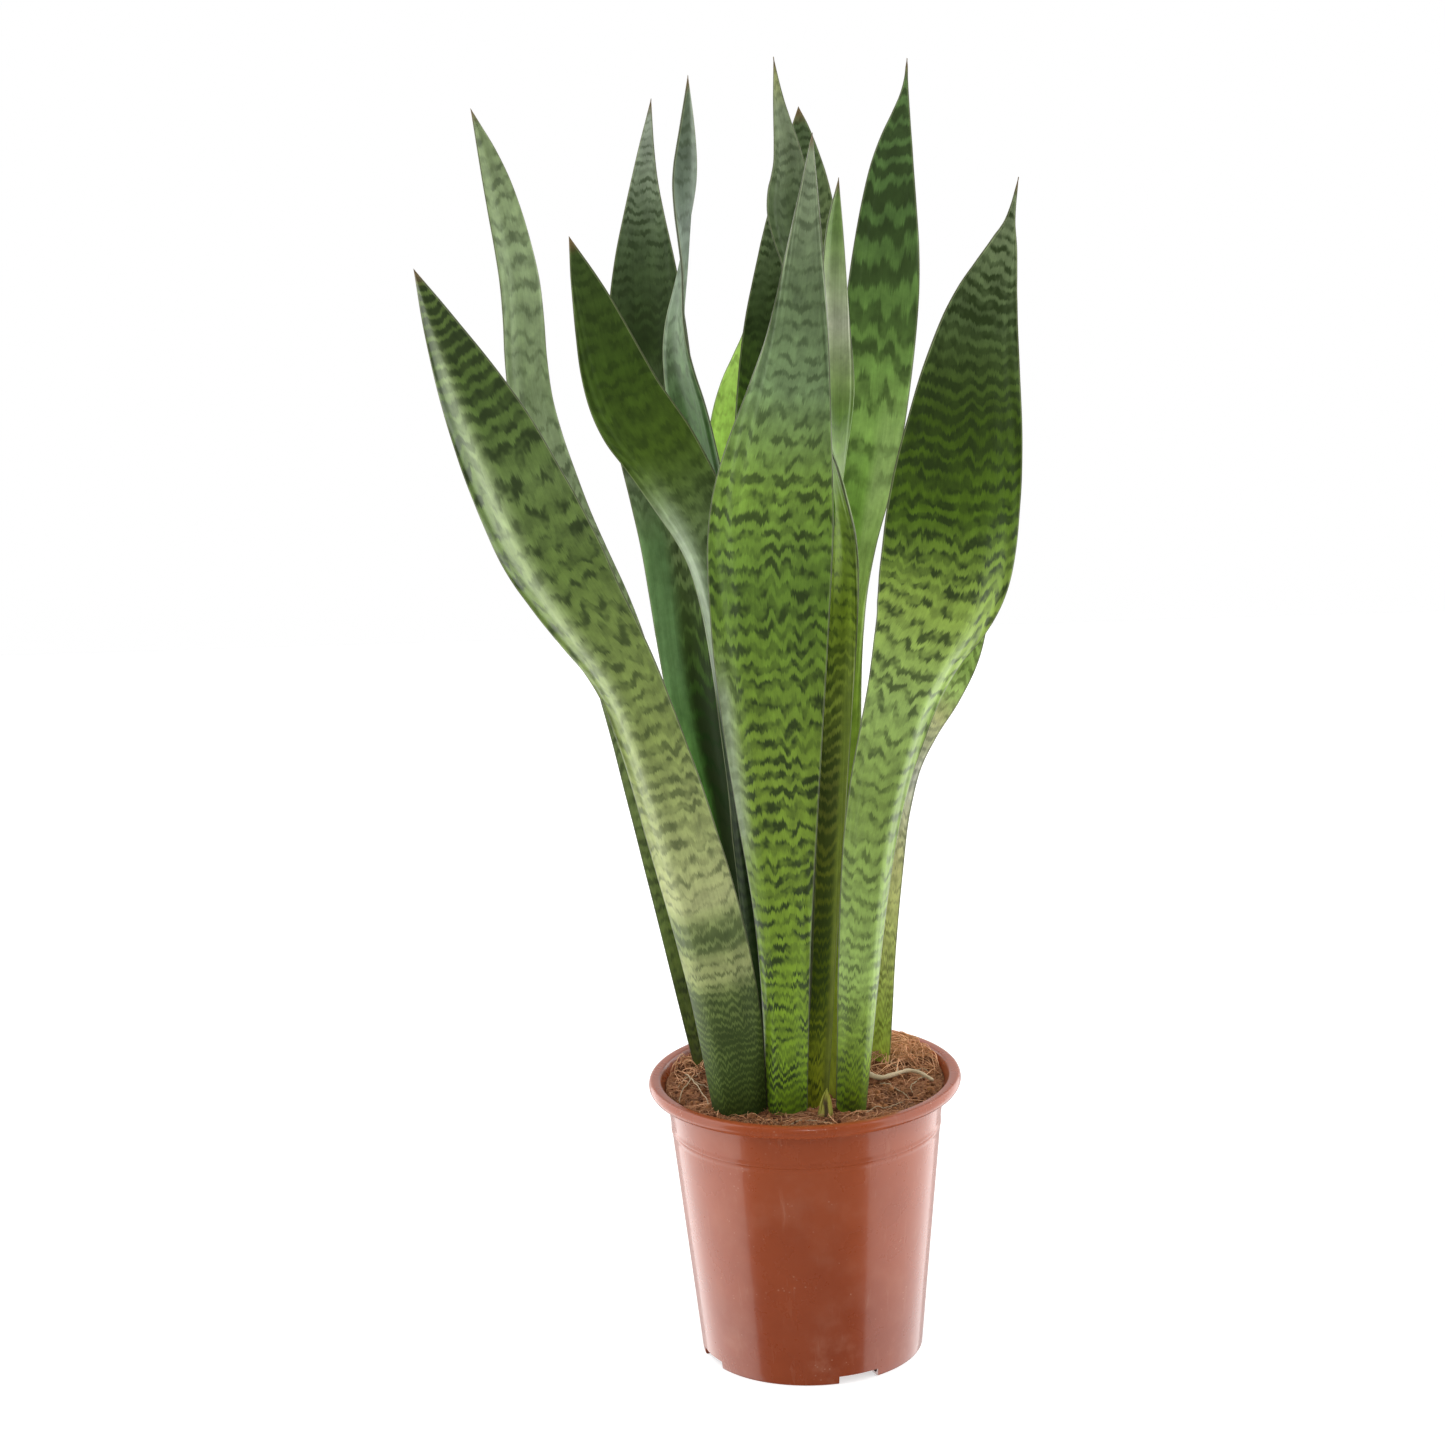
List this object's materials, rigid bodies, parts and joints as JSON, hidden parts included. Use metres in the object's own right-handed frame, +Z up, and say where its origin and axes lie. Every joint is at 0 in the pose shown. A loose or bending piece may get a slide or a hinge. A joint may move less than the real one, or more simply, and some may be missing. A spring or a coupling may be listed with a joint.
{
  "type": "potted snake plant",
  "caption": "Upright snake plant: stiff, banded, sword-shaped leaves growing from fibrous soil in a round tapered nursery pot with a rolled lip.",
  "frame": {"origin": "on the pot's axis, in the plane the pot stands on", "axes": "+Z up along the pot's axis, -Y towards the front of the plant, +X to its right as seen from the front"},
  "size_m": [0.2977, 0.263, 0.705],
  "materials": {
    "pot": "satin",
    "soil": "matte",
    "leaf": "satin",
    "sheath": "matte",
    "root": "matte"
  },
  "bodies": {
    "root": {"pot": "pot", "soil": "soil", "leaf_front_left": "leaf", "leaf_rear_left": "leaf", "leaf_left_folded": "leaf", "leaf_rear_dark": "leaf", "leaf_slender_twisted": "leaf", "leaf_front_centre": "leaf", "leaf_rear_bright": "leaf", "leaf_rear_tall": "leaf", "leaf_rear_olive": "leaf", "leaf_rear_hidden": "leaf", "leaf_narrow_twisted": "leaf", "leaf_right_tall": "leaf", "leaf_front_right": "leaf", "leaf_rear_right": "leaf", "basal_sheath": "sheath", "surface_root": "root"}
  },
  "joints": []
}
